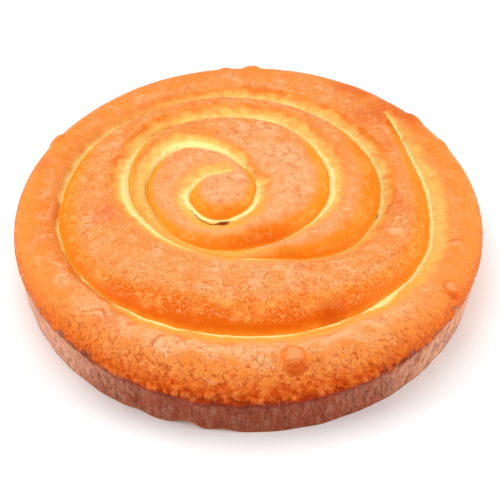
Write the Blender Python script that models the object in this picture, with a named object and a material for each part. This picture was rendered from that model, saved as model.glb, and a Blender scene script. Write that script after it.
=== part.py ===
"""A round cheesecake baked in one piece.

The top is a rope of batter coiled outwards from a bun in the middle. Its turns fused in the oven and a groove is
left between them. The crust rounds over a shoulder at the rim to a steep side that the tin shaped, and the cake
stands on its flat base. Lengths are in millimetres until the mesh is made, +Z is up, and the origin is the middle of
the base.
"""

import math

import bmesh
import bpy

MM = 0.001

# The body: an oval plan, a domed top, and a side that narrows towards the base
HALF_WIDTH = 120.0
HALF_DEPTH = 121.5
SIDE_HEIGHT = 24.0
SHOULDER_RISE = 4.6
SHOULDER_SHARE = 0.1
DOME_RISE = 11.4
DOME_POWER = 2.2
SIDE_INSET = 1.0
BASE_SHARES = (0.981, 0.996)
FOOT_INSET = 0.5

# The coil: where it starts, and how far the groove lies from there after so many degrees of winding
COIL_CENTRE = (-12.0, 2.0)
GROOVE_WINDING = (
    (0, 0), (30, 9), (62, 14), (80, 17), (100, 17), (125, 17), (155, 17), (185, 18), (215, 18),
    (245, 19), (275, 18), (305, 15.5), (335, 15), (365, 15.5), (395, 19), (420, 23), (440, 27.5),
    (460, 36.5), (480, 44.5), (505, 44), (530, 41), (560, 36.5), (590, 37.5), (615, 38), (640, 39),
    (665, 40), (690, 45), (715, 51.5), (740, 57), (762, 61.5), (785, 66.5), (815, 66.5), (845, 65.5),
    (870, 56.5), (900, 48), (930, 41.5), (960, 39.5), (990, 41), (1020, 49), (1050, 69.5), (1080, 79.5),
    (1105, 83.5), (1130, 85.5), (1160, 86), (1190, 86), (1225, 86), (1250, 84), (1275, 85),
    (1310, 84.5), (1345, 86.5), (1385, 96), (1420, 105), (1440, 104.5), (1460, 105), (1475, 111),
    (1490, 117.5), (1500, 122), (1530, 134),
)
TURNS = 5
GROOVE_STARTS = (62, 100)
GROOVE_ENDS = (1474, 1496)
FIRST_DEPTH = 4.2
LAST_DEPTH = 6.6

# The rope's section: a steep wall on its outer side, a gentle bank on its inner side. A narrow turn stays low.
WALL_REACH = 12.0
WALL_POWER = 2.7
BANK_REACH = 15.0
BANK_POWER = 1.9
REACH_SHARE = 0.55
LEAST_REACH = 4.0
LOW_WIDTHS = (1.0, 15.0)

# Blisters on the crust and knobs on the rim: angle, distance along it as a share of the rim, breadth, height
BLISTERS = (
    (281.6, 0.862, 5.0, 4.4),
    (330.3, 0.938, 3.4, 1.8),
    (89.0, 0.985, 3.6, 1.8),
    (96.5, 0.985, 2.6, 1.2),
    (152.0, 0.985, 3.4, 2.2),
    (38.5, 0.985, 4.0, 1.8),
    (26.0, 0.985, 4.0, 1.8),
    (15.5, 0.985, 4.0, 1.6),
    (9.0, 0.985, 3.6, 1.4),
)

# Folds that the tin's paper left in the side, and chips out of the foot: angle, half breadth in degrees, height
FOLDS = ((41, 0.3, 0.4), (27, 0.3, 2.1), (17, 0.2, 4.0))
CHIPS = ((249.5, 2.5, 2.0), (262.0, 3.2, 4.0), (269.5, 3.2, 1.8))

STEPS = 120
COLUMNS = (0.0, 0.16, 0.38, 0.6, 0.78, 0.91)
SIDE_LEVELS = (0.88, 0.62, 0.32)
CRUST_COLOUR = (0.83, 0.30, 0.06, 1.0)
CRUST_ROUGHNESS = 0.45


def smooth_step(low, high, value):
    """0 below low, 1 above high and a smooth rise between them."""
    share = min(1.0, max(0.0, (value - low) / (high - low)))
    return share * share * (3.0 - 2.0 * share)


def through(knots, at):
    """The value at a place on the smooth curve through (place, value) knots."""
    last = len(knots) - 1
    k = max(i for i in range(last) if knots[i][0] <= at or i == 0)
    span = knots[k + 1][0] - knots[k][0]
    share = min(1.0, max(0.0, (at - knots[k][0]) / span))

    def slope(i):
        before, after = knots[max(i - 1, 0)], knots[min(i + 1, last)]
        return (after[1] - before[1]) / (after[0] - before[0])

    square, cube = share**2, share**3
    return (
        (2 * cube - 3 * square + 1) * knots[k][1]
        + (cube - 2 * square + share) * span * slope(k)
        + (3 * square - 2 * cube) * knots[k + 1][1]
        + (cube - square) * span * slope(k + 1)
    )


def rim_reach(angle):
    """How far the rim lies from the coil's centre, looking out at this angle in degrees."""
    c, s = math.cos(math.radians(angle)), math.sin(math.radians(angle))
    x, y = COIL_CENTRE
    a = (c / HALF_WIDTH) ** 2 + (s / HALF_DEPTH) ** 2
    b = x * c / HALF_WIDTH**2 + y * s / HALF_DEPTH**2
    left = (x / HALF_WIDTH) ** 2 + (y / HALF_DEPTH) ** 2 - 1.0
    return (math.sqrt(b * b - a * left) - b) / a


def groove_reach(winding):
    """How far the groove lies from the coil's centre. Past the coil's end it runs on as the rim."""
    if winding <= 0:
        return 0.0
    rim = rim_reach(winding)
    return rim if winding >= GROOVE_WINDING[-1][0] else min(through(GROOVE_WINDING, winding), rim)


def groove_depth(winding):
    """The groove fades in out of the bun and fades out where the rope's end melts into the rim."""
    start, end = smooth_step(*GROOVE_STARTS, winding), smooth_step(*GROOVE_ENDS, winding)
    share = (winding - GROOVE_STARTS[0]) / (GROOVE_ENDS[1] - GROOVE_STARTS[0])
    return (FIRST_DEPTH + (LAST_DEPTH - FIRST_DEPTH) * share) * start * (1.0 - end)


def crown(distance, reach, power):
    """1 in the groove and 0 from reach onwards, rounded like dough."""
    return max(0.0, 1.0 - distance / reach) ** power


def blister_height(x, y):
    """The blisters and knobs near this place."""
    height = 0.0
    for angle, share, breadth, rise in BLISTERS:
        a = math.radians(angle)
        gap = math.hypot(x - share * HALF_WIDTH * math.cos(a), y - share * HALF_DEPTH * math.sin(a))
        height += rise * math.exp(-((gap / breadth) ** 2))
    return height


def crust_height(x, y):
    """The domed top without its groove, down to the crust's edge at the rim."""
    share = math.hypot(x / HALF_WIDTH, y / HALF_DEPTH)
    over = max(0.0, (share - 1.0 + SHOULDER_SHARE) / SHOULDER_SHARE)
    dome = DOME_RISE * (1.0 - min(1.0, share) ** DOME_POWER)
    return SIDE_HEIGHT + SHOULDER_RISE * (1.0 - over**DOME_POWER) + dome


def top_point(angle, band, column):
    """A point of the top: band counts the rope's turns from the middle, column runs from its inner to outer groove."""
    inner, outer = angle + 360.0 * (band - 1), angle + 360.0 * band
    near, far = groove_reach(inner), groove_reach(outer)
    width = far - near
    reach = near + width * column
    x = COIL_CENTRE[0] + reach * math.cos(math.radians(angle))
    y = COIL_CENTRE[1] + reach * math.sin(math.radians(angle))
    parted = smooth_step(*GROOVE_STARTS, inner)
    limit = max(REACH_SHARE * (far - near * parted), LEAST_REACH)
    bank = groove_depth(inner) * crown(width * column, min(BANK_REACH, limit), BANK_POWER)
    wall = groove_depth(outer) * crown(width * (1.0 - column), min(WALL_REACH, limit), WALL_POWER)
    drop = bank + wall - bank * wall / max(groove_depth(inner), groove_depth(outer), 0.001)
    low = groove_depth(inner) * (1.0 - column) + groove_depth(outer) * column
    drop += parted * (1.0 - smooth_step(*LOW_WIDTHS, width)) * max(0.0, low - drop)
    return x, y, crust_height(x, y) - drop + blister_height(x, y)


def fold_depth(angle, level):
    """How far the side's folds lie behind it: a few waves round the cake, deepest under the crust."""
    wave = sum(depth * math.sin(math.radians(angle * count) + start) for count, depth, start in FOLDS)
    return wave * (0.4 + 0.6 * level)


def chip_height(angle):
    """How far the foot is broken away above the table."""
    return max(high * math.exp(-(((angle - at) / half) ** 2)) for at, half, high in CHIPS)


def side_point(angle, level):
    """A point of the side: level is 1 at the crust's edge and 0 at the foot."""
    rim = math.radians(angle)
    reach = rim_reach(angle)
    x = COIL_CENTRE[0] + reach * math.cos(rim)
    y = COIL_CENTRE[1] + reach * math.sin(rim)
    inset = (SIDE_INSET - fold_depth(angle, level)) / HALF_WIDTH
    across, along = (share + (1.0 - share) * level - inset for share in BASE_SHARES)
    foot = chip_height(angle)
    return x * across, y * along, foot + (SIDE_HEIGHT - foot) * level


def base_point(angle):
    """A point of the flat base's edge."""
    x, y, _ = side_point(angle, 0.0)
    share = 1.0 - (FOOT_INSET + chip_height(angle)) / HALF_WIDTH
    return x * share, y * share, 0.0


def rib(step):
    """The points from the middle of the top out to the rim, down the side and back to the middle of the base."""
    angle = 360.0 * step / STEPS
    points = [top_point(angle, band, column) for band in range(TURNS + 1) for column in COLUMNS]
    points.append(top_point(angle, TURNS, 1.0))
    points += [side_point(angle, level) for level in SIDE_LEVELS]
    points += [side_point(angle, 0.0), base_point(angle), (0.0, 0.0, 0.0)]
    return points


def cake_mesh():
    """The ribs joined all round. The last rib is the first one turned once, so the coil's turns join up there."""
    shape = bmesh.new()
    ribs = [[shape.verts.new([MM * v for v in point]) for point in rib(step)] for step in range(STEPS + 1)]
    for left, right in zip(ribs, ribs[1:]):
        for k in range(len(left) - 1):
            shape.faces.new((left[k], left[k + 1], right[k + 1], right[k]))
    bmesh.ops.remove_doubles(shape, verts=shape.verts, dist=0.02 * MM)
    bmesh.ops.dissolve_degenerate(shape, edges=shape.edges, dist=0.02 * MM)
    bmesh.ops.recalc_face_normals(shape, faces=shape.faces)
    bmesh.ops.triangulate(shape, faces=shape.faces)
    mesh = bpy.data.meshes.new("cheesecake")
    shape.to_mesh(mesh)
    shape.free()
    mesh.shade_smooth()
    return mesh


def crust_material():
    """Baked golden crust."""
    material = bpy.data.materials.new("baked_crust")
    material.use_nodes = True
    shader = material.node_tree.nodes["Principled BSDF"]
    shader.inputs["Base Color"].default_value = CRUST_COLOUR
    shader.inputs["Roughness"].default_value = CRUST_ROUGHNESS
    shader.inputs["Metallic"].default_value = 0.0
    return material


def main():
    for thing in list(bpy.data.objects):
        bpy.data.objects.remove(thing)
    cake = bpy.data.objects.new("cheesecake", cake_mesh())
    cake.data.materials.append(crust_material())
    bpy.context.scene.collection.objects.link(cake)


main()
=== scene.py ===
"""A round baked cheesecake on a pale floor.

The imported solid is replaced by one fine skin: a coiled, browned crust on top and the brown side that stood
against the tin's paper. The skin is a grid rolled round the coil, so its edges run along the groove. Each
vertex keeps how far it lies from the groove and from the rim, and the crust's material lays its colours by
those distances. Lengths are in millimetres until the mesh is made.
"""

import math

import bpy
import numpy as np
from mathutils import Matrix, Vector, noise


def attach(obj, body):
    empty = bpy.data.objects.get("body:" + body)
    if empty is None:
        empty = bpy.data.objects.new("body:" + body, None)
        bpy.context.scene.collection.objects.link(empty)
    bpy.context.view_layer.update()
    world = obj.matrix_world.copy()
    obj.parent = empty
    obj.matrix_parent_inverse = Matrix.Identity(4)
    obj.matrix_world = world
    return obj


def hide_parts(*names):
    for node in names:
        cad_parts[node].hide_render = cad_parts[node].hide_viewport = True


MM = 0.001

# The body, as the solid has it
HALF_WIDTH = 120.0
HALF_DEPTH = 121.5
SIDE_HEIGHT = 24.0
SHOULDER_RISE = 4.6
SHOULDER_SHARE = 0.1
DOME_RISE = 11.4
DOME_POWER = 2.2
SIDE_INSET = 1.0
BASE_SHARES = (0.981, 0.996)
FOOT_INSET = 0.5

# The coil's groove: degrees of winding from the bun outwards, and its reach from the coil's centre
COIL_CENTRE = (-12.0, 2.0)
GROOVE_WINDING = (
    (0, 0), (30, 9), (62, 14), (80, 17), (100, 17), (125, 17), (155, 17), (185, 18), (215, 18),
    (245, 19), (275, 18), (305, 15.5), (335, 15), (365, 15.5), (395, 19), (420, 23), (440, 27.5),
    (460, 36.5), (480, 44.5), (505, 44), (530, 41), (560, 36.5), (590, 37.5), (615, 38), (640, 39),
    (665, 40), (690, 45), (715, 51.5), (740, 57), (762, 61.5), (785, 66.5), (815, 66.5), (845, 65.5),
    (870, 56.5), (900, 48), (930, 41.5), (960, 39.5), (990, 41), (1020, 49), (1050, 69.5), (1080, 79.5),
    (1105, 83.5), (1130, 85.5), (1160, 86), (1190, 86), (1225, 86), (1250, 84), (1275, 85),
    (1310, 84.5), (1345, 86.5), (1385, 96), (1420, 105), (1440, 104.5), (1460, 105), (1475, 111),
    (1490, 117.5), (1500, 122), (1530, 134),
)
TURNS = 5
GROOVE_STARTS = (62, 100)
GROOVE_ENDS = (1466, 1486)
FIRST_DEPTH = 4.2
LAST_DEPTH = 6.6
# How the groove strays from that line: how far, how broad the strays are, and their seed
GROOVE_STRAYS = ((0.55, 11.0, 3.0), (0.25, 4.0, 7.0))

# The rope's section: a steep wall on its outer side, a gentle bank on its inner side
WALL_REACH = 12.0
WALL_POWER = 2.7
BANK_REACH = 15.0
BANK_POWER = 1.9
REACH_SHARE = 0.55
LEAST_REACH = 4.0
LOW_WIDTHS = (1.0, 15.0)

# The flesh in the groove: where the rope's turns are squeezed shut and how far that fills the groove, and how
# much the cream flesh fills it for each millimetre of its breadth, up to the most breadth and within a reach
SQUEEZE_STARTS = (530, 560)
SQUEEZE_ENDS = (640, 665)
SQUEEZE_FILL = 0.15
BULGE_FILL = 0.03
BULGE_MOST = 4.0
BULGE_REACH = 2.6

# Blisters and knobs: angle, distance along it as a share of the rim, breadth, height
BLISTERS = (
    (281.6, 0.862, 5.0, 4.4),
    (330.3, 0.938, 3.4, 1.8),
    (89.0, 0.985, 3.6, 1.8),
    (96.5, 0.985, 2.6, 1.2),
    (152.0, 0.985, 3.4, 2.2),
    (38.5, 0.985, 4.0, 1.8),
    (26.0, 0.985, 4.0, 1.8),
    (15.5, 0.985, 4.0, 1.6),
    (9.0, 0.985, 3.6, 1.4),
)
ON_CRUST = BLISTERS[:2]
BLISTER_SPREAD = 1.45
BLISTER_POWERS = (2.6, 0.8)
# A blister's front flank, darkened with painted shade, is turned a little to the right of the front, and ends
# this far out
FLANK_LEAN = 0.35
FLANK_ENDS = 1.2

# Creases in the skin: angle, distance along it as a share of the rim, radius, which way it bulges, height
WRINKLES = (
    (248.0, 0.835, 4.5, 150, 0.8),
    (227.0, 0.915, 7.0, 60, 0.7),
    (238.0, 0.90, 9.0, 200, 0.4),
    (262.0, 0.90, 6.0, 250, 0.5),
    (343.0, 0.885, 4.0, 90, 0.5),
    (350.0, 0.66, 10.0, 120, 0.5),
    (217.0, 0.60, 7.0, 30, 0.3),
    (306.0, 0.93, 6.0, 280, 0.4),
)
# How much a crease's radius wavers and over what breadth, how sharply it fades along its ring, the breadth of
# its ridge, and the dip outside it: depth, distance, breadth
WRINKLE_WAVER = (0.5, 6.0)
WRINKLE_FADE = 5
WRINKLE_RIDGE = 1.6
WRINKLE_DIP = (0.8, 2.4, 1.3)

# Where the crust baked browner: angle, distance along it as a share of the rim, radius, how brown the middle is
BROWNED = (
    (42.0, 0.90, 26.0, 1.0),
    (58.0, 0.95, 22.0, 0.9),
    (298.0, 0.70, 15.0, 0.8),
    (47.0, 0.75, 30.0, 0.60),
    (30.0, 0.73, 26.0, 0.45),
    (34.0, 0.96, 18.0, 0.50),
    (163.0, 0.95, 20.0, 0.55),
    (357.0, 0.66, 26.0, 0.46),
    (188.0, 0.60, 30.0, 0.54),
    (192.0, 0.90, 20.0, 0.38),
    (230.0, 0.85, 24.0, 0.45),
)
# Folds that the tin's paper left in the side: how many, depth, where they start
FOLDS = ((41, 0.3, 0.4), (27, 0.3, 2.1), (17, 0.2, 4.0))
FOLDS_AT_FOOT = 0.4
# The side reaches its inset within this share of its height
INSET_WITHIN = 0.3
# Chips out of the foot: angle, half breadth in degrees, height
CHIPS = ((249.5, 2.5, 2.0), (262.0, 3.2, 4.0), (269.5, 3.2, 1.8))
# The crumb that a chip bares shows up to this far above it
CHIP_EDGE = 2.0

# What shows outwards of the groove: winding, breadth of the cream-white split, breadth of the split and the
# yellow bank behind it together, and how deep amber the bank's torn edge is
SPLIT_BANK = (
    (60, 0.0, 1.0, 0.0), (80, 0.6, 4.0, 0.1), (100, 0.9, 5.0, 0.2), (120, 1.2, 6.0, 0.2),
    (150, 2.0, 6.5, 0.2), (180, 3.0, 7.0, 0.1), (210, 2.6, 7.5, 0.1), (240, 3.2, 9.0, 0.0),
    (265, 2.4, 9.5, 0.0), (285, 3.2, 9.0, 0.1), (300, 3.2, 8.0, 0.1), (330, 2.9, 7.0, 0.2),
    (360, 2.5, 5.5, 0.4), (385, 1.8, 5.0, 0.7), (398, 0.2, 3.0, 1.0), (422, 0.2, 3.0, 1.0),
    (432, 1.8, 6.0, 0.9), (450, 3.2, 7.5, 0.9), (470, 3.6, 8.5, 0.9), (490, 3.2, 8.0, 0.9),
    (508, 2.0, 7.0, 0.8), (525, 0.0, 6.0, 0.4), (560, 0.0, 5.0, 0.2), (590, 0.0, 2.0, 0.0),
    (650, 0.0, 2.0, 0.0), (690, 0.8, 3.0, 0.0), (705, 2.0, 5.5, 0.1), (720, 3.0, 7.0, 0.2),
    (745, 2.4, 6.5, 0.4), (770, 1.3, 5.5, 0.7), (800, 0.8, 5.0, 0.9), (830, 0.4, 4.5, 1.0),
    (845, 0.1, 4.5, 1.0), (862, 1.8, 5.5, 1.0), (885, 3.8, 7.0, 0.9), (905, 4.4, 7.0, 0.6),
    (930, 2.8, 5.0, 0.2), (950, 1.2, 3.5, 0.1), (990, 0.0, 2.5, 0.0), (1008, 0.8, 4.0, 0.1),
    (1025, 0.2, 2.0, 0.2), (1060, 0.4, 3.5, 0.6), (1085, 1.2, 5.0, 0.9), (1110, 1.4, 5.2, 1.0),
    (1140, 0.9, 5.0, 1.0), (1170, 0.6, 4.0, 1.0), (1195, 0.2, 2.5, 0.6), (1215, 0.7, 2.5, 0.4),
    (1245, 1.2, 2.5, 0.3), (1256, 1.0, 1.5, 0.3), (1260, 0.0, -0.5, 0.8), (1271, 0.7, -0.5, 1.0),
    (1280, 0.5, -1.0, 1.0), (1288, 0.0, -1.0, 1.0), (1297, 0.6, -0.5, 1.0), (1310, 0.2, 0.0, 0.9),
    (1320, 1.4, 4.5, 0.8), (1330, 1.8, 6.0, 0.6), (1340, 0.4, 5.5, 0.6), (1348, 1.5, 6.0, 0.5),
    (1366, 1.4, 6.5, 0.4), (1374, 0.3, 6.0, 0.4), (1383, 0.9, 5.5, 0.3), (1391, 0.2, 5.5, 0.3),
    (1398, 4.2, 7.0, 0.2), (1406, 1.4, 8.0, 0.2), (1420, 2.0, 8.5, 0.2), (1450, 1.6, 8.0, 0.2),
    (1464, 1.2, 6.5, 0.2), (1476, 0.8, 3.0, 0.1), (1483, 0.0, 0.0, 0.0),
)
# What shows up the wall from the groove: winding, breadth of the smooth wall, how far it is scorched
SMOOTH_WALL = (
    (60, 1, 0.0), (140, 1, 0.0), (170, 4, 0.0), (210, 5, 0.05), (250, 7, 0.4), (270, 7, 0.5), (300, 5, 0.3),
    (330, 3.5, 0.1), (410, 3.5, 0.05), (440, 1, 0.0), (490, 1, 0.0), (510, 3.5, 0.1), (550, 2, 0.0),
    (590, 4, 0.15), (630, 6, 0.5), (655, 8, 0.9), (675, 7, 0.7), (695, 6, 0.2), (755, 6, 0.1), (775, 1, 0.0),
    (835, 1, 0.0), (850, 4, 0.0), (880, 4, 0.0), (920, 2, 0.0), (990, 3, 0.1), (1035, 5, 0.3),
    (1050, 8, 0.35), (1105, 9, 0.4), (1130, 2, 0.1), (1150, 1, 0.0), (1215, 1, 0.1), (1235, 7, 0.25),
    (1270, 8, 0.35), (1292, 6, 0.5), (1315, 9, 0.9), (1338, 14, 1.0), (1352, 13, 0.9), (1366, 13, 0.95),
    (1380, 14, 1.0), (1400, 9, 0.6), (1420, 8, 0.35), (1450, 7, 0.3), (1470, 5, 0.3),
)
# Dark cracks in the batter: winding, distance outwards of the groove, half length, half breadth
CRACKS = (
    (269, 3.8, 3.3, 2.8),
    (262, 4.9, 2.0, 0.8),
    (255, 5.5, 2.2, 0.6),
    (246, 4.9, 2.6, 0.6),
    (237, 3.9, 2.6, 0.6),
    (228, 3.0, 2.6, 0.5),
    (219, 2.5, 2.0, 0.4),
    (152, 2.6, 3.0, 0.3),
    (140, 3.6, 3.0, 0.3),
    (1072, 0.2, 4.0, 0.5),
)
# A mark's value where the thing that it measures isn't near
FAR_OFF = 40.0
NO_CRACK = -9.0

# How deep the groove is before its bank and its wall show in full, and before it holds any flesh
BANK_SHOWS = 1.5
WALL_SHOWS = 3.5
FLESH_SHOWS = 0.5
# The wall's own mark has this value where the smooth wall ends. Above it the wall flakes, on the last turn.
WALL_TOP = 8.0
FLAKY_CLIMB = ((18.0, 11.0), (1.0, 4.5))
FLAKY_WINDING = ((1080.0, 1200.0), (1480.0, 1420.0))
FLAKY_LEAST = 0.5
# A cream split narrower than this closes, and its edge then falls this far behind
SPLIT_CLOSES = 0.6
CLOSED_BY = 1.5

# The skin's relief in bumps, each with its height, breadth and seed. First the broad swells on the crest, and
# the share of them that is left at the rim.
SWELL = (0.5, 24.0, 11.0)
SMALL_SWELL = (0.28, 9.0, 5.0)
SWELL_AT_RIM = 0.35
# The crust's crumbs, how much is taken off so that they dip as well as rise, and their share away from the rim
LUMPS = ((1.5, 4.3, 2.0), (0.9, 2.6, 9.0))
LUMPS_MIDDLE = 0.57
LUMP_SHARE = 0.08
# The side's fine bumps, how many times taller than broad they are, and the share of them at the back
SIDE_BUMPS = ((0.35, 5.0, 21.0), (0.22, 2.4, 23.0))
SIDE_BUMPS_UPRIGHT = 4.0
BACK_SHARE = 0.35
# The crumbs on the crust's edge: their height at the back, how much more at the front, and how far they reach
LIP_LUMPS = (0.12, 1.2)
LIP_REACH = 3.0
# The grainy rim: how far in from the edge it reaches, how near the front it is, and how much more relief it has
GRAINY_RIM = (30.0, 6.0)
NEAR_FRONT = (0.6, 1.0)
GRAINY_SWELL = 0.35
GRAINY_LUMPS = 1.0
# Where the relief rises: in from the rim, up from the groove and up the side. A blister's skin is calmer.
FROM_RIM = (0.0, 6.0)
FROM_GROOVE = (0.0, 4.0)
FROM_FOOT = (0.0, 3.0)
ON_BLISTER = (-0.3, 0.1)
BLISTER_CALM = 0.8
# The edge between the crust and the side: how much is rounded off, over what reach, and how that is shared
# inwards and downwards
ROUNDING = 0.7
ROUNDING_REACH = 3.5
ROUNDING_IN = 0.75
ROUNDING_DOWN = 0.4

# The fine skin: steps round the cake, rows across each turn of the rope, rows down the side, and how far in
# from the foot those of the base lie. The top's rows crowd towards the grooves by this share.
STEPS = 620
TURN_ROWS = ((8, 30, 20, 26, 44, 6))
SIDE_ROWS = 22
BASE_INSETS = (FOOT_INSET, 20.0, 60.0, HALF_WIDTH)
CROWDED = 0.55
# Points closer together than this become one, and edges shorter than this go
MERGED = 0.02
DISSOLVED = 0.01

# Where the camera stood: above the front edge, three cake widths away. The photograph is 500 pixels wide, and
# the cake isn't quite in its middle.
CAMERA_ELEVATION = 43.94
CAMERA_DISTANCE = 0.72
CAMERA_LENS = 101.1
CAMERA_SENSOR = 36.0
CAMERA_SHIFT = (1.7 / 500, -36.05 / 500)
CAMERA_AIM = Vector((0.0, 0.0, 0.025))

# Softboxes: name, place and breadth in metres, power in watts. The white walls give the rest of the light.
SOFTBOXES = (
    ("overhead", (-0.2, 0.3, 1.1), 0.8, 5.6),
    ("left", (-1.0, -0.2, 0.4), 0.5, 6.0),
    ("right", (1.0, -0.2, 0.4), 0.5, 6.5),
)
ROOM_LIGHT = 0.54


def smooth_step(low, high, value):
    """0 below low, 1 above high and a smooth rise between them."""
    share = np.clip((value - low) / (high - low), 0.0, 1.0)
    return share * share * (3.0 - 2.0 * share)


def through(knots, at):
    """The values at these places on the smooth curve through (place, value) knots."""
    place, value = np.array(knots, float).T
    slope = np.gradient(value)
    slope[1:-1] = (value[2:] - value[:-2]) / (place[2:] - place[:-2])
    slope[0] = (value[1] - value[0]) / (place[1] - place[0])
    slope[-1] = (value[-1] - value[-2]) / (place[-1] - place[-2])
    k = np.clip(np.searchsorted(place, at, side="right") - 1, 0, len(place) - 2)
    span = place[k + 1] - place[k]
    t = np.clip((at - place[k]) / span, 0.0, 1.0)
    return (
        (2 * t**3 - 3 * t**2 + 1) * value[k]
        + (t**3 - 2 * t**2 + t) * span * slope[k]
        + (3 * t**2 - 2 * t**3) * value[k + 1]
        + (t**3 - t**2) * span * slope[k + 1]
    )


def rim_reach(angle):
    """How far the rim lies from the coil's centre, looking out at these angles in degrees."""
    c, s = np.cos(np.radians(angle)), np.sin(np.radians(angle))
    x, y = COIL_CENTRE
    a = (c / HALF_WIDTH) ** 2 + (s / HALF_DEPTH) ** 2
    b = x * c / HALF_WIDTH**2 + y * s / HALF_DEPTH**2
    left = (x / HALF_WIDTH) ** 2 + (y / HALF_DEPTH) ** 2 - 1.0
    return (np.sqrt(b * b - a * left) - b) / a


def bumps(x, y, z, size, seed):
    """Smooth random bumps from -1 to 1 whose breadth is about this size in millimetres."""
    points = np.stack([x, y, z], axis=-1).reshape(-1, 3) / size + seed
    value = np.array([noise.noise(Vector(point)) for point in points])
    return value.reshape(np.shape(x))


def on_rim(angle, share):
    """The place at this angle and at this share of the way out to the rim."""
    a = math.radians(angle)
    return share * HALF_WIDTH * math.cos(a), share * HALF_DEPTH * math.sin(a)


def groove_reach(winding):
    """How far the groove lies from the coil's centre. Past the coil's end it runs on as the rim."""
    rim = rim_reach(winding)
    reach = np.minimum(through(GROOVE_WINDING, winding), rim)
    x, y = reach * np.cos(np.radians(winding)), reach * np.sin(np.radians(winding))
    stray = sum(far * bumps(x, y, 0.0 * x, size, seed) for far, size, seed in GROOVE_STRAYS)
    stray = stray * smooth_step(*GROOVE_STARTS, winding) * (1.0 - smooth_step(*GROOVE_ENDS, winding))
    reach = np.where(winding >= GROOVE_WINDING[-1][0], rim, np.minimum(reach + stray, rim))
    return np.where(winding <= 0, 0.0, reach)


def groove_depth(winding):
    """The groove fades in out of the bun and fades out where the rope's end melts into the rim."""
    start, end = smooth_step(*GROOVE_STARTS, winding), smooth_step(*GROOVE_ENDS, winding)
    share = (winding - GROOVE_STARTS[0]) / (GROOVE_ENDS[1] - GROOVE_STARTS[0])
    return (FIRST_DEPTH + (LAST_DEPTH - FIRST_DEPTH) * share) * start * (1.0 - end)


def flesh_fill(winding, distance):
    """The pale flesh that bulges out of the split, as a share of the groove's depth."""
    squeezed = smooth_step(*SQUEEZE_STARTS, winding) * (1.0 - smooth_step(*SQUEEZE_ENDS, winding))
    bulge = np.minimum(look(SPLIT_BANK, winding, 1), BULGE_MOST) * np.exp(-((distance / BULGE_REACH) ** 2))
    return SQUEEZE_FILL * squeezed + BULGE_FILL * bulge


def crown(distance, reach, power):
    """1 in the groove and 0 from reach onwards, rounded like dough."""
    return np.maximum(0.0, 1.0 - distance / reach) ** power


def blister_height(x, y):
    """The blisters and knobs near these places."""
    height = 0.0
    edge, top = BLISTER_POWERS
    for angle, share, breadth, rise in BLISTERS:
        cx, cy = on_rim(angle, share)
        gap = np.hypot(x - cx, y - cy) / (BLISTER_SPREAD * breadth)
        height = height + rise * np.maximum(0.0, 1.0 - gap**edge) ** top
    return height


def blister_share(x, y):
    """1 in the middle of the two blisters on the crust, 0 at their edges and below that outside."""
    share = -1.0
    for angle, away, breadth, _ in ON_CRUST:
        cx, cy = on_rim(angle, away)
        share = np.maximum(share, 1.0 - np.hypot(x - cx, y - cy) / (BLISTER_SPREAD * breadth))
    return share


def blister_flank(x, y):
    """How far towards the front of a blister these places lie, from 1 at its foot to -1 behind it."""
    flank = -1.0
    for angle, away, breadth, _ in ON_CRUST:
        cx, cy = on_rim(angle, away)
        radius = BLISTER_SPREAD * breadth
        near = np.hypot(x - cx, y - cy) < FLANK_ENDS * radius
        flank = np.where(near, (FLANK_LEAN * (x - cx) - (y - cy)) / radius, flank)
    return flank


def wrinkle_height(x, y):
    """The creases in the skin near these places: part of a ring is raised, with a dip beside it."""
    height = 0.0
    waver, waver_size = WRINKLE_WAVER
    depth, away, breadth = WRINKLE_DIP
    for angle, share, radius, lean, rise in WRINKLES:
        cx, cy = on_rim(angle, share)
        dx, dy = x - cx, y - cy
        gap = np.hypot(dx, dy) - radius * (1.0 + waver * bumps(x, y, x * 0, waver_size, radius))
        turn = 0.5 + 0.5 * np.cos(np.arctan2(dy, dx) - math.radians(lean))
        ridge = np.exp(-((gap / WRINKLE_RIDGE) ** 2))
        dip = depth * np.exp(-(((gap - away) / breadth) ** 2))
        height = height + rise * turn**WRINKLE_FADE * (ridge - dip)
    return height


def browned_share(x, y):
    """1 in the middle of the browner spots, 0 away from them."""
    share = -1.0
    for angle, away, radius, most in BROWNED:
        cx, cy = on_rim(angle, away)
        share = np.maximum(share, most - np.hypot(x - cx, y - cy) / radius)
    return share


def crust_height(x, y):
    """The domed top without its groove, down to the crust's edge at the rim."""
    share = np.hypot(x / HALF_WIDTH, y / HALF_DEPTH)
    over = np.maximum(0.0, (share - 1.0 + SHOULDER_SHARE) / SHOULDER_SHARE)
    dome = DOME_RISE * (1.0 - np.minimum(1.0, share) ** DOME_POWER)
    return SIDE_HEIGHT + SHOULDER_RISE * (1.0 - over**DOME_POWER) + dome


def look(table, winding, part):
    """One column of a table of looks, read at these windings."""
    rows = np.array(table, float)
    return np.interp(winding, rows[:, 0], rows[:, part])


def groove_length(winding):
    """How many millimetres of groove lie before these windings."""
    places = np.arange(0.0, 360.0 * (TURNS + 1), 2.0)
    reach = groove_reach(places)
    x, y = reach * np.cos(np.radians(places)), reach * np.sin(np.radians(places))
    run = np.concatenate([[0.0], np.cumsum(np.hypot(np.diff(x), np.diff(y)))])
    return np.interp(winding, places, run)


def crack_share(winding, out):
    """Above 0 inside a crack, 1 in its middle."""
    run = groove_length(winding)
    share = np.full(np.broadcast(winding, out).shape, NO_CRACK)
    for at, away, half_length, half_breadth in CRACKS:
        along = (run - groove_length(np.array([at]))) / half_length
        share = np.maximum(share, 1.0 - np.hypot(along, (out - away) / half_breadth))
    return share


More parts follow.
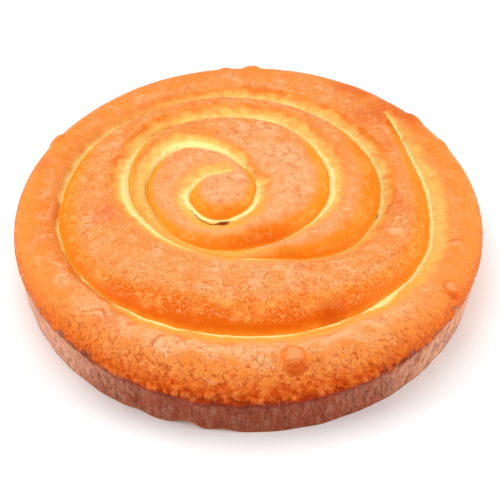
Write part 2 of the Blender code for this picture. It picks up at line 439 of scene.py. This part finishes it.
def top_rows():
    """The top's places and marks: rows across each turn in order, from the middle out to the rim."""
    angle = np.linspace(0.0, 360.0, STEPS + 1)[None, :]
    band = np.repeat(np.arange(TURNS + 1), TURN_ROWS)[:, None]
    even = np.concatenate([np.arange(rows) / rows for rows in TURN_ROWS])[:, None]
    column = (1.0 - CROWDED) * even + CROWDED * (1.0 - np.cos(np.pi * even)) / 2.0
    inner, outer = angle + 360.0 * (band - 1), angle + 360.0 * band
    near, far = groove_reach(inner), groove_reach(outer)
    width = far - near
    reach = near + width * column
    x = COIL_CENTRE[0] + reach * np.cos(np.radians(angle))
    y = COIL_CENTRE[1] + reach * np.sin(np.radians(angle))
    parted = smooth_step(*GROOVE_STARTS, inner)
    limit = np.maximum(REACH_SHARE * (far - near * parted), LEAST_REACH)
    bank_depth, wall_depth = groove_depth(inner), groove_depth(outer)
    out, up = width * column, width * (1.0 - column)
    bank = bank_depth * crown(out, np.minimum(BANK_REACH, limit), BANK_POWER)
    wall = wall_depth * crown(up, np.minimum(WALL_REACH, limit), WALL_POWER)
    drop = bank + wall - bank * wall / np.maximum(np.maximum(bank_depth, wall_depth), 0.001)
    low = bank_depth * (1.0 - column) + wall_depth * column
    narrow = parted * (1.0 - smooth_step(*LOW_WIDTHS, width))
    drop = drop + narrow * np.maximum(0.0, low - drop)
    fill = flesh_fill(inner, out) * (bank_depth > FLESH_SHOWS)
    fill = fill + flesh_fill(outer, up) * (wall_depth > FLESH_SHOWS)
    z = crust_height(x, y) - drop * np.maximum(0.0, 1.0 - fill) + blister_height(x, y) + wrinkle_height(x, y)

    no_bank = FAR_OFF * (1.0 - smooth_step(0.0, BANK_SHOWS, bank_depth))
    no_wall = FAR_OFF * (1.0 - smooth_step(0.0, WALL_SHOWS, wall_depth))
    scorched = look(SMOOTH_WALL, outer, 2) + 0.0 * up
    climb = up * WALL_TOP / look(SMOOTH_WALL, outer, 1) + no_wall
    # A turn's first row lies in the groove, at the foot of the wall of the turn before
    first = (column[:, 0] == 0.0) & (band[:, 0] > 0)
    climb[first] = no_bank[first]
    scorched[first] = look(SMOOTH_WALL, inner, 2)[first]
    flaky = np.minimum(1.0, FLAKY_LEAST + scorched)
    for (low, high), value in zip(FLAKY_CLIMB + FLAKY_WINDING, (climb, climb, outer, outer)):
        flaky = flaky * smooth_step(low, high, value)
    pale, yellow, torn = (look(SPLIT_BANK, inner, part) + 0.0 * out for part in (1, 2, 3))
    marks = {
        "out": out + no_bank,
        "pale": pale - CLOSED_BY * smooth_step(SPLIT_CLOSES, 0.0, pale),
        "yellow": yellow,
        "torn": torn,
        "climb": climb,
        "scorched": scorched,
        "crest": np.minimum(out + no_bank, up + no_wall),
        "crack": crack_share(inner, out),
        "flaky": flaky,
    }
    return (x, y, z), marks


def fold_depth(angle, level):
    """How far the side's folds stand out: a few waves round the cake, deepest under the crust."""
    wave = sum(depth * np.sin(np.radians(angle * count) + start) for count, depth, start in FOLDS)
    return wave * (FOLDS_AT_FOOT + (1.0 - FOLDS_AT_FOOT) * level)


def chip_height(angle):
    """How far the foot is broken away above the table."""
    return np.max([high * np.exp(-(((angle - at) / half) ** 2)) for at, half, high in CHIPS], axis=0)


def side_rows():
    """The side from the crust's edge down to the foot, and the flat base to its middle."""
    angle = np.linspace(0.0, 360.0, STEPS + 1)[None, :]
    level = 1.0 - (np.arange(SIDE_ROWS + 1)[:, None] / SIDE_ROWS)
    rim = rim_reach(angle)
    x = COIL_CENTRE[0] + rim * np.cos(np.radians(angle))
    y = COIL_CENTRE[1] + rim * np.sin(np.radians(angle))
    foot = chip_height(angle)
    inset = (SIDE_INSET - fold_depth(angle, level)) / HALF_WIDTH * smooth_step(0.0, INSET_WITHIN, 1.0 - level)
    across, along = (share + (1.0 - share) * level - inset for share in BASE_SHARES)
    side = (x * across, y * along, foot + (SIDE_HEIGHT - foot) * level)
    shares = 1.0 - np.array(BASE_INSETS)[:, None] / HALF_WIDTH + 0.0 * foot
    shares[0] -= foot[0] / HALF_WIDTH
    base = (side[0][-1] * shares, side[1][-1] * shares, 0.0 * shares)
    return [np.vstack([a, b]) for a, b in zip(side, base)]


def deselect_all():
    """Nothing is selected, so the next operator acts only on what is made next."""
    bpy.ops.object.select_all(action="DESELECT")


def skin():
    """The skin's places and marks in rows: over the top to the rim, down the side and in under the foot."""
    (tx, ty, tz), marks = top_rows()
    sx, sy, sz = side_rows()
    x, y, z = np.vstack([tx, sx]), np.vstack([ty, sy]), np.vstack([tz, sz])
    top = tx.shape[0]
    on_side = {"out": FAR_OFF, "climb": FAR_OFF, "crest": FAR_OFF, "crack": NO_CRACK}
    for name in marks:
        marks[name] = np.vstack([marks[name], np.full_like(sx, on_side.get(name, 0.0))])
    marks["front"] = 0.5 - 0.5 * y / np.maximum(np.hypot(x, y), 1.0)
    marks["rim"] = (1.0 - np.hypot(x / HALF_WIDTH, y / HALF_DEPTH)) * HALF_WIDTH
    marks["rim"][top:] = 0.0
    marks["below"] = -marks["rim"]
    marks["below"][top:] = np.maximum(0.0, SIDE_HEIGHT - sz)
    marks["blister"] = blister_share(x, y)
    marks["flank"] = blister_flank(x, y)
    marks["browned"] = browned_share(x, y)
    marks["wrinkle"] = wrinkle_height(x, y)
    marks["chipped"] = np.full_like(x, -FAR_OFF)
    marks["chipped"][top:] = chip_height(np.linspace(0.0, 360.0, STEPS + 1)[None, :]) + CHIP_EDGE - sz
    marks["lump"] = sum(high * np.abs(bumps(x, y, z, size, seed)) for high, size, seed in LUMPS) - LUMPS_MIDDLE
    on_top = np.zeros_like(x)
    on_top[:top] = 1.0
    return add_relief(x, y, z, marks, on_top), marks


def add_relief(x, y, z, marks, on_top):
    """Raises swells and crumbs on the top, makes the side uneven and rounds the edge between them."""
    near_front = smooth_step(*NEAR_FRONT, marks["front"])
    grainy = smooth_step(*GRAINY_RIM, marks["rim"]) * near_front
    calm = 1.0 - BLISTER_CALM * smooth_step(*ON_BLISTER, marks["blister"])
    high, size, seed = SWELL
    swell = high * bumps(x, y, z * 0, size, seed)
    high, size, seed = SMALL_SWELL
    swell = swell + (high + GRAINY_SWELL * grainy) * bumps(x, y, z * 0, size, seed)
    swell = swell * (SWELL_AT_RIM + (1.0 - SWELL_AT_RIM) * smooth_step(*FROM_RIM, marks["rim"]))
    crumbs = marks["lump"] * (LUMP_SHARE + GRAINY_LUMPS * grainy) * calm

    fine = sum(far * bumps(x, y, z / SIDE_BUMPS_UPRIGHT, size, seed) for far, size, seed in SIDE_BUMPS)
    lip = np.exp(-((marks["below"] / LIP_REACH) ** 2)) * marks["lump"]
    least, more = LIP_LUMPS
    rough = (BACK_SHARE + (1.0 - BACK_SHARE) * near_front) * fine + (least + more * near_front) * lip
    on_side = smooth_step(FROM_RIM[1], FROM_RIM[0], marks["rim"]) * smooth_step(*FROM_FOOT, z)
    rounding = ROUNDING * np.maximum(0.0, 1.0 - np.abs(marks["below"]) / ROUNDING_REACH) ** 2
    push = 1.0 + (rough * on_side - ROUNDING_IN * rounding) / HALF_WIDTH
    z = z + on_top * smooth_step(*FROM_GROOVE, marks["crest"]) * (swell + crumbs) - ROUNDING_DOWN * rounding
    return x * push, y * push, z


def make_cake():
    """A grid rolled round the coil: each of its rows is one of the skin's, and its columns go round it."""
    (x, y, z), marks = skin()
    rows = x.shape[0]
    deselect_all()
    bpy.ops.mesh.primitive_grid_add(x_subdivisions=STEPS, y_subdivisions=rows - 1, size=2.0, location=(0, 0, 0))
    cake = bpy.context.object
    cake.name = cake.data.name = "cake_crust"
    flat = np.empty(len(cake.data.vertices) * 3)
    cake.data.vertices.foreach_get("co", flat)
    flat = flat.reshape(-1, 3)
    step = np.rint((flat[:, 0] + 1.0) / 2.0 * STEPS).astype(int)
    row = np.rint((flat[:, 1] + 1.0) / 2.0 * (rows - 1)).astype(int)
    place = np.stack([x[row, step], y[row, step], z[row, step]], axis=1) * MM
    cake.data.vertices.foreach_set("co", place.reshape(-1))
    for name in MARKS:
        layer = cake.data.attributes.new(name, "FLOAT", "POINT")
        layer.data.foreach_set("value", marks[name][row, step].astype(np.float32))
    bpy.ops.object.mode_set(mode="EDIT")
    bpy.ops.mesh.select_all(action="SELECT")
    bpy.ops.mesh.remove_doubles(threshold=MERGED * MM)
    bpy.ops.mesh.dissolve_degenerate(threshold=DISSOLVED * MM)
    bpy.ops.mesh.normals_make_consistent(inside=False)
    bpy.ops.object.mode_set(mode="OBJECT")
    bpy.ops.object.shade_smooth()
    return cake


def linear(code):
    """A six-digit sRGB code as linear red, green, blue and alpha."""
    shares = [int(code[k : k + 2], 16) / 255.0 for k in (0, 2, 4)]
    return tuple(v / 12.92 if v <= 0.04045 else ((v + 0.055) / 1.055) ** 2.4 for v in shares) + (1.0,)


def node(tree, kind, feeds=None, **settings):
    """Adds a node with its properties set. feeds maps inputs to values, or to the sockets that feed them."""
    made = tree.nodes.new(kind)
    for name, value in settings.items():
        setattr(made, name, value)
    for key, value in (feeds or {}).items():
        if isinstance(value, bpy.types.NodeSocket):
            tree.links.new(value, made.inputs[key])
        else:
            made.inputs[key].default_value = value
    return made


# The crust's textures: size in millimetres across, size upright, detail, roughness. The finest real grain is
# under half a millimetre, too fine for the picture, so it is drawn about a millimetre across.
TEXTURES = {
    "broad": (26.0, 26.0, 1.0, 0.5),
    "lobes": (11.0, 11.0, 2.0, 0.55),
    "patchy": (6.0, 6.0, 3.0, 0.65),
    "mottle": (2.4, 2.4, 3.0, 0.7),
    "grain": (0.9, 0.9, 1.0, 0.6),
    "pores": (1.6, 1.6, 2.0, 0.7),
    "streaks": (1.7, 11.0, 3.0, 0.7),
    "stains": (7.0, 16.0, 3.0, 0.6),
}

# Other patterns, in millimetres: how broad the skin's fine creases and the rim's crumbs run, how far the side's
# cracks lie apart, over what breadth and how far they bend, and how many times longer than broad they are
CREASE_SIZE = 8.0
CRUMB_SIZE = 3.2
CRACKS_APART = 13.0
CRACKS_BEND = (6.0, 4.0)
CRACKS_UPRIGHT = 5.0

# The crust browns towards its rim, and painted shade darkens the rim and the side under its edge towards the
# front.
# So many millimetres are added to a distance from the edge at the back, and fewer nearer to the front.
RUST_PULL = 60.0
BROW_PULL = 30.0
# The border between top and side: it climbs this far by this share away from the front, is frayed by two
# textures, and turns from the top's colours to the side's over this span
BORDER_CLIMB = {"From Min": 0.985, "From Max": 0.90, "To Max": 2.6}
BORDER_FRAYED = (("patchy", 10.0), ("streaks", 6.0))
BORDER_SPAN = {"From Min": 9.8, "From Max": 12.2}

# The fine relief's height and the crumbs' in millimetres, and where the smooth wall loses it
GRAIN_HEIGHT = 0.7
CRUMB_HEIGHT = 1.2
WALL_SMOOTHED = {"From Min": 2.5, "From Max": 7.5, "To Min": 0.15}

# The marks that the mesh keeps at each point. out is how far outwards of the groove it lies, pale and yellow
# are how broad the split and the bank are there, and torn how deep amber the bank's edge is. climb is how far
# up the smooth wall it lies, scorched how dark that is, and flaky how flaky its upper edge. crest is how far it
# is from any groove, crack how deep in a crack, front 1 at the front and 0 at the back, rim how far in from the
# edge, below how far under it, and chipped how far under a chip's top. blister, flank, wrinkle, lump and
# browned say how far it is inside a blister, down its front, up on a wrinkle, up on a crumb and inside a
# browner spot.
MARKS = (
    "out", "pale", "yellow", "torn", "climb", "scorched", "crest", "crack", "front", "rim", "below", "chipped",
    "blister", "flank", "wrinkle", "lump", "flaky", "browned",
)

# The top's colours, each laid over the one before: colour, what it is measured by, where it starts, where it is
# full, how strong, the texture that frays its edge, how far it does, and a mark or mask that holds it back
TOP_BASE = "ec8a3c"
TOP_COLOURS = (
    ("f09646", "broad", 0.40, 0.62, 0.80, "", 0, ""),
    ("f4b07c", "lobes", 0.50, 0.66, 0.55, "", 0, ""),
    # Painted sheen: the paler peach on the crests, in the middle of the top and on the front crest stands in
    # for the soft sheen of light on them.
    ("f1a260", "crest", 6.0, 16.0, 0.35, "lobes", 12, ""),
    ("f0ad78", "rim", 62.0, 84.0, 0.70, "lobes", 20, ""),
    ("fac492", "rusty", 46.0, 28.0, 0.80, "lobes", 14, "facing"),
    ("ea7c20", "patchy", 0.46, 0.30, 0.70, "", 0, ""),
    ("f6b684", "patchy", 0.53, 0.68, 0.55, "", 0, ""),
    ("e67828", "mottle", 0.46, 0.32, 0.50, "", 0, ""),
    ("f7bc88", "mottle", 0.54, 0.68, 0.42, "", 0, ""),
    # The grain's dark specks are the crust's own pores. Its pale specks are painted glints.
    ("b86c3c", "grain", 0.46, 0.32, 0.16, "", 0, ""),
    ("ffd4b0", "grain", 0.54, 0.70, 0.20, "", 0, ""),
    ("b0602c", "grain", 0.46, 0.34, 0.30, "", 0, "coarse"),
    ("ffd0a8", "grain", 0.54, 0.68, 0.26, "", 0, "coarse"),
    ("c0501c", "pores", 0.34, 0.26, 0.65, "", 0, ""),
    ("d46e30", "creases", 0.035, 0.005, 0.50, "", 0, "wrinkly"),
    ("fbc89c", "creases", 0.05, 0.09, 0.25, "", 0, "wrinkly"),
    ("f08830", "rim", 28.0, 8.0, 0.82, "lobes", 18, ""),
    ("e0601c", "browned", 0.0, 0.7, 0.72, "patchy", 0.5, ""),
    ("f2a468", "mottle", 0.55, 0.68, 0.40, "", 0, ""),
    ("d86c28", "mottle", 0.44, 0.32, 0.35, "", 0, ""),
    ("f09450", "climb", 16.0, 9.0, 0.70, "lobes", 6, ""),
    ("f69820", "climb", 11.5, 5.5, 0.95, "mottle", 4, ""),
    ("ec6c08", "climb", 12.5, 6.0, 0.90, "lobes", 5, "scorched"),
    ("e25c02", "climb", 8.5, 4.0, 0.70, "mottle", 6, "scorched"),
    ("f9a250", "mottle", 0.52, 0.65, 0.50, "", 0, "flaky"),
    ("d04c0c", "mottle", 0.46, 0.34, 0.55, "", 0, "flaky"),
    # The pale specks on the flaky crust are painted glints.
    ("fdbc80", "grain", 0.53, 0.66, 0.45, "", 0, "flaky"),
    ("c84c0c", "grain", 0.46, 0.34, 0.40, "", 0, "flaky"),
    ("f9b06c", "mottle", 0.54, 0.68, 0.45, "", 0, "walled"),
    ("f6a44a", "lobes", 0.50, 0.66, 0.40, "", 0, "walled"),
    ("e8740e", "mottle", 0.46, 0.34, 0.35, "", 0, "walled"),
    ("f28c18", "climb", 3.5, 1.4, 0.75, "patchy", 4, ""),
    ("e05602", "climb", 3.8, 1.6, 0.75, "patchy", 4, "scorched"),
    ("f49a24", "climb", 1.6, 0.2, 0.55, "patchy", 1, ""),
    ("f2a45c", "bank", -6.0, 0.5, 0.60, "lobes", 6, ""),
    ("cc4400", "browned", 0.1, 0.7, 0.60, "mottle", 0.5, "walled"),
    ("ee8a2c", "bank", -3.5, -0.6, 0.90, "patchy", 9, "torn"),
    ("e47010", "bank", -4.0, 0.0, 0.80, "lobes", 13, "torn"),
    ("f4ae58", "bank", -2.2, 1.2, 0.85, "patchy", 5, ""),
    ("facb6c", "bank", 0.2, 4.0, 0.90, "patchy", 5, ""),
    ("eda034", "bank", -0.5, 2.0, 0.85, "patchy", 5, "facing"),
    ("f2992c", "out", 1.4, 0.2, 0.85, "", 0, ""),
    ("fbd880", "split", -1.6, -0.1, 0.70, "patchy", 2, ""),
    ("ffee9e", "split", -0.1, 0.3, 1.00, "patchy", 1.3, ""),
    ("fbd070", "out", 0.7, 0.0, 0.60, "", 0, ""),
    ("f0a044", "mottle", 0.46, 0.36, 0.30, "", 0, "parted"),
    ("ffe6a8", "mottle", 0.54, 0.64, 0.25, "", 0, "parted"),
    ("a8440c", "crack", 0.0, 0.35, 0.90, "mottle", 0.4, ""),
    ("6c240a", "crack", 0.20, 0.7, 0.80, "mottle", 0.3, ""),
    # Darker orange towards the front rim: the rim's own browning, with painted shade towards the front.
    ("ee8436", "rusty", 20.0, 8.0, 0.65, "lobes", 14, ""),
    ("e4701f", "rusty", 10.0, 2.0, 0.70, "patchy", 9, ""),
    # On the crumbly rim the raised crumbs get painted highlights and the dips between them get painted shade,
    # over the crust's own rust-red. The pale grain specks there are painted glints.
    ("f38c2e", "lump", -0.05, 0.40, 0.85, "mottle", 0.6, "crumbly"),
    ("cc500c", "lump", -0.10, -0.45, 0.85, "mottle", 0.6, "crumbly"),
    ("ffb068", "patchy", 0.54, 0.64, 0.26, "", 0, "crumbly"),
    ("ffc27a", "grain", 0.56, 0.68, 0.36, "", 0, "crumbly"),
    ("b44408", "grain", 0.45, 0.33, 0.30, "", 0, "crumbly"),
    # Painted light on the blisters: painted shade round their foot and down their front flank, and a painted
    # highlight on their tops.
    ("e8741e", "blister", 0.0, 0.20, 0.75, "mottle", 0.2, ""),
    ("f6a66c", "blister", 0.30, 0.70, 0.75, "mottle", 0.3, ""),
    ("dc601a", "flank", 0.40, 0.85, 0.90, "mottle", 0.4, ""),
    # Painted light on the creases in the skin: painted shade in the dip beside each one and a painted highlight
    # on its ridge.
    ("d8601e", "wrinkle", -0.10, -0.35, 0.60, "mottle", 0.2, ""),
    ("f9c29c", "wrinkle", 0.15, 0.60, 0.45, "mottle", 0.2, ""),
    # The crust's edge browns to dark red, and painted shade makes it darker towards the front.
    ("de6010", "below", -8.0, -3.0, 0.70, "mottle", 7, "facing"),
    ("b83c08", "below", -2.8, 0.0, 0.45, "patchy", 8, "facing"),
    ("a42c04", "below", -1.0, 1.8, 0.85, "patchy", 8, "facing"),
    # Painted shade in the dips and painted highlights on the crumbs near the front edge.
    ("cc4008", "lump", 0.00, -0.35, 0.60, "mottle", 1.0, "painted_edge_crumb_light"),
    ("fc9c54", "lump", 0.15, 0.60, 0.32, "mottle", 1.4, "painted_edge_crumb_light"),
    ("dc6c2c", "ragged", 7.5, 9.5, 0.60, "", 0, "aside"),
    ("bc5430", "ragged", 9.0, 11.0, 0.60, "", 0, "aside"),
)

# The side's colours in the same way
SIDE_BASE = "db9a78"
SIDE_COLOURS = (
    ("e4b4a0", "streaks", 0.48, 0.66, 0.60, "", 0, ""),
    ("bc7456", "streaks", 0.46, 0.32, 0.42, "", 0, ""),
    ("cc8050", "stains", 0.50, 0.64, 0.50, "", 0, ""),
    # Painted shade: the side gets darker towards the front, and darkest just under the crust's edge there, over
    # its own streaks and stains.
    ("963e24", "front", 0.825, 0.975, 0.90, "stains", 0.15, ""),
    ("c08468", "streaks", 0.50, 0.64, 0.42, "", 0, "facing"),
    ("7a3424", "streaks", 0.46, 0.32, 0.42, "", 0, "facing"),
    ("b4806c", "stains", 0.54, 0.66, 0.40, "", 0, "facing"),
    ("6c2a24", "stains", 0.46, 0.34, 0.50, "", 0, "facing"),
    ("842c18", "under", 0.15, 0.85, 0.88, "streaks", 1.2, "facing"),
    ("681e10", "streaks", 0.48, 0.36, 0.72, "", 0, "under"),
    ("d08c74", "streaks", 0.57, 0.70, 0.45, "", 0, "under"),
    ("8c3420", "streaks", 0.40, 0.30, 0.30, "", 0, "aside"),
    ("b8601c", "chipped", 0.0, 2.5, 0.80, "mottle", 3, ""),
    ("6c2c1c", "cells", 0.025, 0.0, 0.50, "mottle", 0.05, ""),
)

# Masks from 0 to 1: what each is measured by, where it starts and where it is full
MASKS = (
    ("crumbly", "rusty", 30.0, 8.0),
    # facing is full towards the front, where painted shade darkens the crust's edge and the side and painted
    # sheen lightens the crest.
    ("facing", "front", 0.5, 0.95),
    ("parted", "bank", -0.5, 2.0),
    ("walled", "climb", 12.0, 6.0),
    ("coarse", "broad", 0.40, 0.58),
    ("aside", "front", 0.98, 0.86),
    ("wrinkly", "lobes", 0.50, 0.60),
    # under is full just below the crust's edge at the front, where painted shade darkens the side.
    ("under", "brow", 9.0, 1.5),
    ("painted_edge_crumb_light", "rusty", 11.0, 3.0),
)


def add_textures(tree, place, measures):
    """Adds the crust's textures, its fine creases and crumbs, and the side's cracks to what is measured."""
    for name, (flat, upright, detail, rough) in TEXTURES.items():
        feeds = {"Vector": place, "Scale": (1 / (flat * MM), 1 / (flat * MM), 1 / (upright * MM))}
        sizes = node(tree, "ShaderNodeMapping", feeds)
        feeds = {"Vector": sizes.outputs[0], "Scale": 1.0, "Detail": detail, "Roughness": rough}
        measures[name] = node(tree, "ShaderNodeTexNoise", feeds).outputs["Fac"]

    # Fine creases run where a broad texture crosses its middle
    feeds = {"Vector": place, "Scale": 1 / (CREASE_SIZE * MM), "Detail": 3.0, "Roughness": 0.55}
    broken = node(tree, "ShaderNodeTexNoise", feeds)
    middle = node(tree, "ShaderNodeMath", {0: broken.outputs["Fac"], 1: 0.5}, operation="SUBTRACT").outputs[0]
    measures["creases"] = node(tree, "ShaderNodeMath", {0: middle}, operation="ABSOLUTE").outputs[0]

    feeds = {"Vector": place, "Scale": 1 / (CRUMB_SIZE * MM), "Detail": 1.0, "Roughness": 0.6}
    measures["crumbs"] = node(tree, "ShaderNodeTexVoronoi", feeds).outputs["Distance"]

    # The side's cracks are the borders between tall cells
    breadth, far = CRACKS_BEND
    wave = node(tree, "ShaderNodeTexNoise", {"Vector": place, "Scale": 1 / (breadth * MM)}).outputs["Color"]
    feeds = {"Vector": place, "Scale": (1.0, 1.0, 1 / CRACKS_UPRIGHT)}
    upright = node(tree, "ShaderNodeMapping", feeds).outputs[0]
    bent = node(tree, "ShaderNodeMix", {0: far * MM, 4: upright, 5: wave}, data_type="VECTOR").outputs[1]
    feeds = {"Vector": bent, "Scale": 1 / (CRACKS_APART * MM)}
    cells = node(tree, "ShaderNodeTexVoronoi", feeds, feature="DISTANCE_TO_EDGE")
    measures["cells"] = cells.outputs["Distance"]


def add_distances(tree, measures):
    """Adds distances that are worked out from the marks: into the split and the bank, and from the border."""
    for name, breadth in (("split", "pale"), ("bank", "yellow")):
        feeds = {0: measures[breadth], 1: measures["out"]}
        measures[name] = node(tree, "ShaderNodeMath", feeds, operation="SUBTRACT").outputs[0]

    sheltered = node(tree, "ShaderNodeMath", {0: 1.0, 1: measures["front"]}, operation="SUBTRACT").outputs[0]
    for name, pull, measured in (("rusty", RUST_PULL, "rim"), ("brow", BROW_PULL, "below")):
        feeds = {0: sheltered, 1: pull, 2: measures[measured]}
        measures[name] = node(tree, "ShaderNodeMath", feeds, operation="MULTIPLY_ADD").outputs[0]

    feeds = {"Value": measures["front"], **BORDER_CLIMB}
    ragged = node(tree, "ShaderNodeMapRange", feeds, interpolation_type="SMOOTHSTEP").outputs[0]
    ragged = node(tree, "ShaderNodeMath", {0: ragged, 1: measures["below"]}, operation="ADD").outputs[0]
    for name, reach in BORDER_FRAYED:
        feeds = {0: measures[name], 1: reach, 2: ragged}
        ragged = node(tree, "ShaderNodeMath", feeds, operation="MULTIPLY_ADD").outputs[0]
    measures["ragged"] = ragged

    for name, measured, start, full in MASKS:
        feeds = {"Value": measures[measured], "From Min": start, "From Max": full}
        mask = node(tree, "ShaderNodeMapRange", feeds, interpolation_type="SMOOTHSTEP")
        measures[name] = mask.outputs["Result"]


def lay_colours(tree, measures, first, layers):
    """Lays a table's colours over the first one."""
    colour = linear(first)
    for code, measured, start, full, most, frayed, by, where in layers:
        value = measures[measured]
        if frayed:
            stray = node(tree, "ShaderNodeMath", {0: measures[frayed], 1: 0.5}, operation="SUBTRACT").outputs[0]
            feeds = {0: stray, 1: 2.0 * by, 2: value}
            value = node(tree, "ShaderNodeMath", feeds, operation="MULTIPLY_ADD").outputs[0]
        feeds = {"Value": value, "From Min": start, "From Max": full, "To Max": most}
        share = node(tree, "ShaderNodeMapRange", feeds, interpolation_type="SMOOTHSTEP").outputs["Result"]
        if where:
            feeds = {0: share, 1: measures[where]}
            share = node(tree, "ShaderNodeMath", feeds, operation="MULTIPLY").outputs[0]
        feeds = {0: share, 6: colour, 7: linear(code)}
        colour = node(tree, "ShaderNodeMix", feeds, data_type="RGBA").outputs[2]
    return colour


def baked_crust():
    """Egg-washed batter, baked brown on its crests and left pale where the rope's turns pulled apart.

    The eye sees freckled orange crests with darker pores, smooth deep orange walls, and a split whose cream
    core fades through yellow into a torn amber edge. The rim at the front is crumbly with rust-red gaps, and
    the side is dull brown where the paper held it. Some of the colour is painted light: a paler peach sheen on
    the crests, pale glints in the grain, painted highlights on the tops of crumbs, blisters and wrinkles with
    painted shade in their dips, and painted shade that darkens the crust's edge and the side towards the front.
    The crust is dry, so it has next to no gloss, and a little light goes through it.
    """
    material = bpy.data.materials.new("baked_crust")
    material.use_nodes = True
    tree = material.node_tree
    shader = tree.nodes["Principled BSDF"]
    place = node(tree, "ShaderNodeTexCoord").outputs["Object"]

    measures = {}
    for name in MARKS:
        measures[name] = node(tree, "ShaderNodeAttribute", attribute_name=name).outputs["Fac"]
    add_textures(tree, place, measures)
    add_distances(tree, measures)

    top = lay_colours(tree, measures, TOP_BASE, TOP_COLOURS)
    side = lay_colours(tree, measures, SIDE_BASE, SIDE_COLOURS)
    feeds = {"Value": measures["ragged"], **BORDER_SPAN}
    over = node(tree, "ShaderNodeMapRange", feeds, interpolation_type="SMOOTHSTEP").outputs[0]
    colour = node(tree, "ShaderNodeMix", {0: over, 6: top, 7: side}, data_type="RGBA").outputs[2]
    tree.links.new(colour, shader.inputs["Base Color"])

    shader.inputs["Roughness"].default_value = 0.45
    shader.inputs["Specular IOR Level"].default_value = 0.04
    shader.inputs["Subsurface Weight"].default_value = 0.3
    shader.inputs["Subsurface Radius"].default_value = (1.0, 0.45, 0.15)
    shader.inputs["Subsurface Scale"].default_value = 2.5 * MM

    # The smooth wall has little of the grain's relief, and the rim has crumbs on top of it
    grainy = node(tree, "ShaderNodeMapRange", {"Value": measures["climb"], **WALL_SMOOTHED}).outputs[0]
    feeds = {0: measures["grain"], 1: 0.5, 2: measures["mottle"]}
    height = node(tree, "ShaderNodeMath", feeds, operation="MULTIPLY_ADD").outputs[0]
    relief = node(tree, "ShaderNodeBump", {"Height": height, "Strength": grainy, "Distance": GRAIN_HEIGHT * MM})
    feeds = {
        "Height": measures["crumbs"],
        "Strength": measures["crumbly"],
        "Distance": CRUMB_HEIGHT * MM,
        "Normal": relief.outputs[0],
    }
    relief = node(tree, "ShaderNodeBump", feeds, invert=True)
    tree.links.new(relief.outputs["Normal"], shader.inputs["Normal"])
    return material


def make_floor():
    """A plain white table."""
    deselect_all()
    bpy.ops.mesh.primitive_plane_add(size=6.0, location=(0, 0, 0))
    floor = bpy.context.object
    floor.name = "table"
    material = bpy.data.materials.new("white_table")
    material.use_nodes = True
    shader = material.node_tree.nodes["Principled BSDF"]
    shader.inputs["Base Color"].default_value = linear("fafafa")
    shader.inputs["Roughness"].default_value = 0.9
    floor.data.materials.append(material)


def aim_at(thing, target):
    """Turns a camera or light to look at a place."""
    thing.rotation_euler = (Vector(target) - thing.location).to_track_quat("-Z", "Y").to_euler()


def make_light(name, place, size, power):
    """A square softbox that looks at the cake."""
    lamp = bpy.data.lights.new(name, "AREA")
    lamp.size = size
    lamp.energy = power
    thing = bpy.data.objects.new(name, lamp)
    thing.location = place
    bpy.context.scene.collection.objects.link(thing)
    aim_at(thing, CAMERA_AIM)


def make_studio():
    """White walls all round, one large softbox above and behind, and one at each side."""
    world = bpy.data.worlds.new("studio")
    bpy.context.scene.world = world
    world.use_nodes = True
    world.node_tree.nodes["Background"].inputs["Color"].default_value = (1.0, 1.0, 1.0, 1.0)
    world.node_tree.nodes["Background"].inputs["Strength"].default_value = ROOM_LIGHT
    for softbox in SOFTBOXES:
        make_light(*softbox)
    bpy.context.scene.view_settings.view_transform = "Standard"


def make_camera():
    """Looks down at the cake from the front at the photograph's angle."""
    camera = bpy.data.objects.new("camera", bpy.data.cameras.new("camera"))
    camera.data.sensor_width = CAMERA_SENSOR
    camera.data.lens = CAMERA_LENS
    camera.data.shift_x, camera.data.shift_y = CAMERA_SHIFT
    tilt = math.radians(CAMERA_ELEVATION)
    camera.location = CAMERA_AIM + CAMERA_DISTANCE * Vector((0.0, -math.cos(tilt), math.sin(tilt)))
    aim_at(camera, CAMERA_AIM)
    bpy.context.scene.collection.objects.link(camera)
    bpy.context.scene.camera = camera


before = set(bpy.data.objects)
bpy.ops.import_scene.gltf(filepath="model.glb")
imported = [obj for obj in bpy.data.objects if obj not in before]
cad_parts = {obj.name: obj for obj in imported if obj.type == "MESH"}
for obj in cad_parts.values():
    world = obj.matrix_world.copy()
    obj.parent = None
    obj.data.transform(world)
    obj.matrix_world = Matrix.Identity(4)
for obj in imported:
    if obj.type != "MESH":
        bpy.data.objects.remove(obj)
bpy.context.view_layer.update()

make_camera()
make_studio()
make_floor()
cake = make_cake()
cake.data.materials.append(baked_crust())
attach(cake, "root")
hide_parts("cheesecake")
